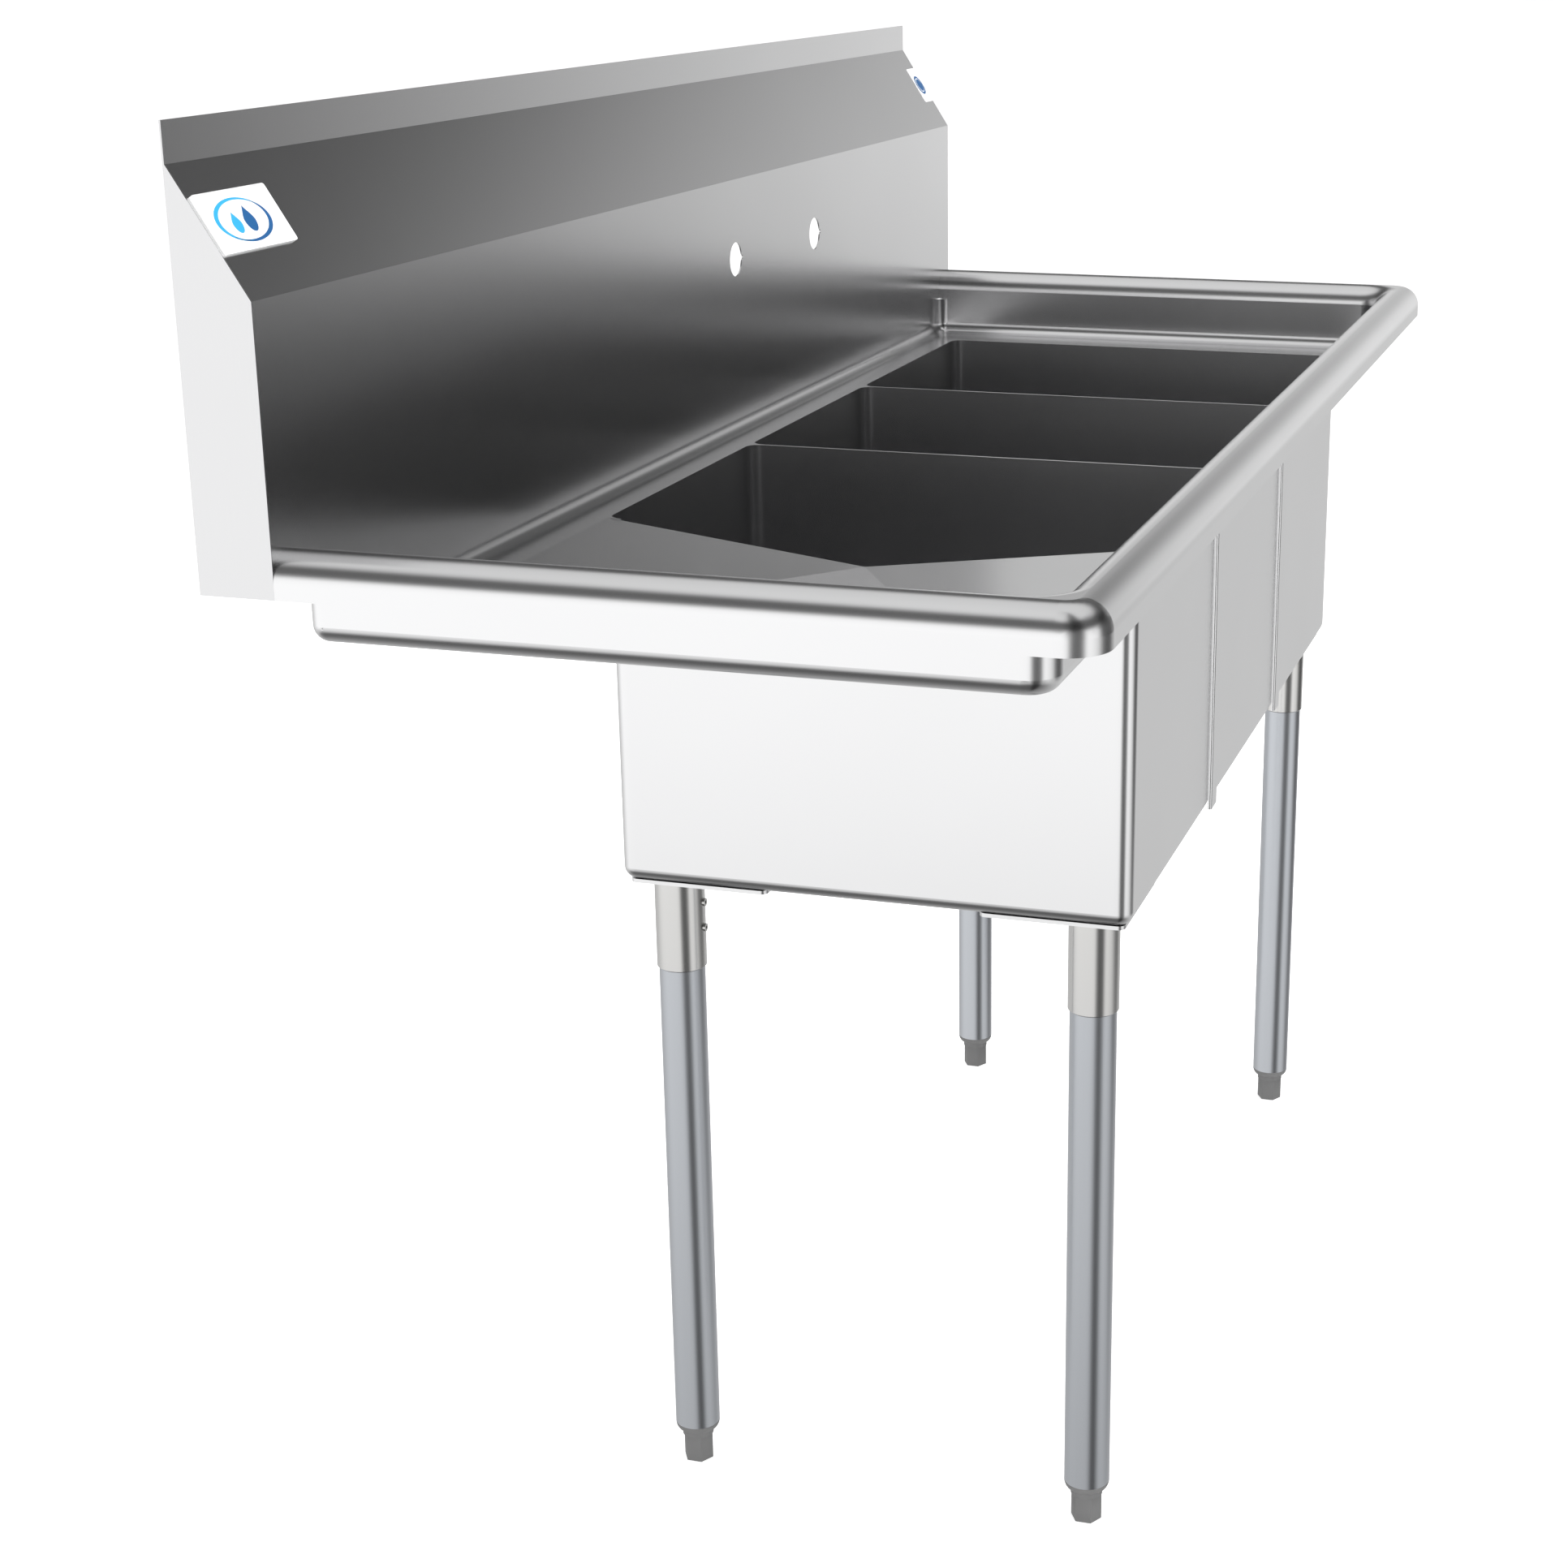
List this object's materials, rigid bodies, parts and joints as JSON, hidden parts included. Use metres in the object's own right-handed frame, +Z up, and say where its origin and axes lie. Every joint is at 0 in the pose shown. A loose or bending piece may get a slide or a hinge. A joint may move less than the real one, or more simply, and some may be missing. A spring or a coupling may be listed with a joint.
{
  "type": "three compartment sink",
  "caption": "Stainless restaurant sink: equal bowls in a row, creased drainboard on the left, rolled rims, tall splash guard with tap holes, socketed tube legs with screw-in feet.",
  "frame": {"origin": "on the floor, under the middle of the plan", "axes": "+X to the right for someone at the front, the front is at -Y, the wall at +Y, +Z up"},
  "size_m": [1.419, 0.5544, 1.111],
  "materials": {
    "stainless": "satin brushed",
    "socket_steel": "satin turned",
    "galvanised": "satin, bluish",
    "drain_steel": "satin",
    "foot_plastic": "matte",
    "nut_plastic": "matte",
    "gasket_rubber": "matte",
    "label_film": "printed film"
  },
  "bodies": {
    "sink": {"bowl_1": "stainless", "bowl_2": "stainless", "bowl_3": "stainless", "cover_strip_1": "stainless", "cover_strip_2": "stainless", "deck_tray": "stainless", "drain_cup_1": "drain_steel", "drain_cup_2": "drain_steel", "drain_cup_3": "drain_steel", "drain_gasket_1": "gasket_rubber", "drain_gasket_2": "gasket_rubber", "drain_gasket_3": "gasket_rubber", "drain_nut_1": "nut_plastic", "drain_nut_2": "nut_plastic", "drain_nut_3": "nut_plastic", "label_left": "label_film", "label_right": "label_film", "leg_plate_back_left": "stainless", "leg_plate_back_right": "stainless", "leg_plate_front_left": "stainless", "leg_plate_front_right": "stainless", "leg_plug_back_left": "foot_plastic", "leg_plug_back_right": "foot_plastic", "leg_plug_front_left": "foot_plastic", "leg_plug_front_right": "foot_plastic", "leg_socket_back_left": "socket_steel", "leg_socket_back_right": "socket_steel", "leg_socket_front_left": "socket_steel", "leg_socket_front_right": "socket_steel", "leg_tube_back_left": "galvanised", "leg_tube_back_right": "galvanised", "leg_tube_front_left": "galvanised", "leg_tube_front_right": "galvanised", "set_screws_back_left": "socket_steel", "set_screws_back_right": "socket_steel", "set_screws_front_left": "socket_steel", "set_screws_front_right": "socket_steel", "splash_cap_left": "stainless", "splash_cap_right": "stainless", "splash_guard": "stainless"},
    "foot_back_left": {"foot_back_left": "foot_plastic"},
    "foot_front_left": {"foot_front_left": "foot_plastic"},
    "foot_front_right": {"foot_front_right": "foot_plastic"},
    "foot_back_right": {"foot_back_right": "foot_plastic"},
    "drain_basket_1": {"drain_basket_1": "drain_steel"},
    "drain_basket_2": {"drain_basket_2": "drain_steel"},
    "drain_basket_3": {"drain_basket_3": "drain_steel"}
  },
  "joints": [
    {"name": "foot_back_left_screw", "type": "slide", "parent": "sink", "child": "foot_back_left", "axis": [0, 0, -1], "range_m": [0, 0.025]},
    {"name": "foot_front_left_screw", "type": "slide", "parent": "sink", "child": "foot_front_left", "axis": [0, 0, -1], "range_m": [0, 0.025]},
    {"name": "foot_front_right_screw", "type": "slide", "parent": "sink", "child": "foot_front_right", "axis": [0, 0, -1], "range_m": [0, 0.025]},
    {"name": "foot_back_right_screw", "type": "slide", "parent": "sink", "child": "foot_back_right", "axis": [0, 0, -1], "range_m": [0, 0.025]},
    {"name": "drain_basket_1_lift", "type": "slide", "parent": "sink", "child": "drain_basket_1", "axis": [0, 0, 1], "range_m": [0, 0.08]},
    {"name": "drain_basket_2_lift", "type": "slide", "parent": "sink", "child": "drain_basket_2", "axis": [0, 0, 1], "range_m": [0, 0.08]},
    {"name": "drain_basket_3_lift", "type": "slide", "parent": "sink", "child": "drain_basket_3", "axis": [0, 0, 1], "range_m": [0, 0.08]}
  ]
}
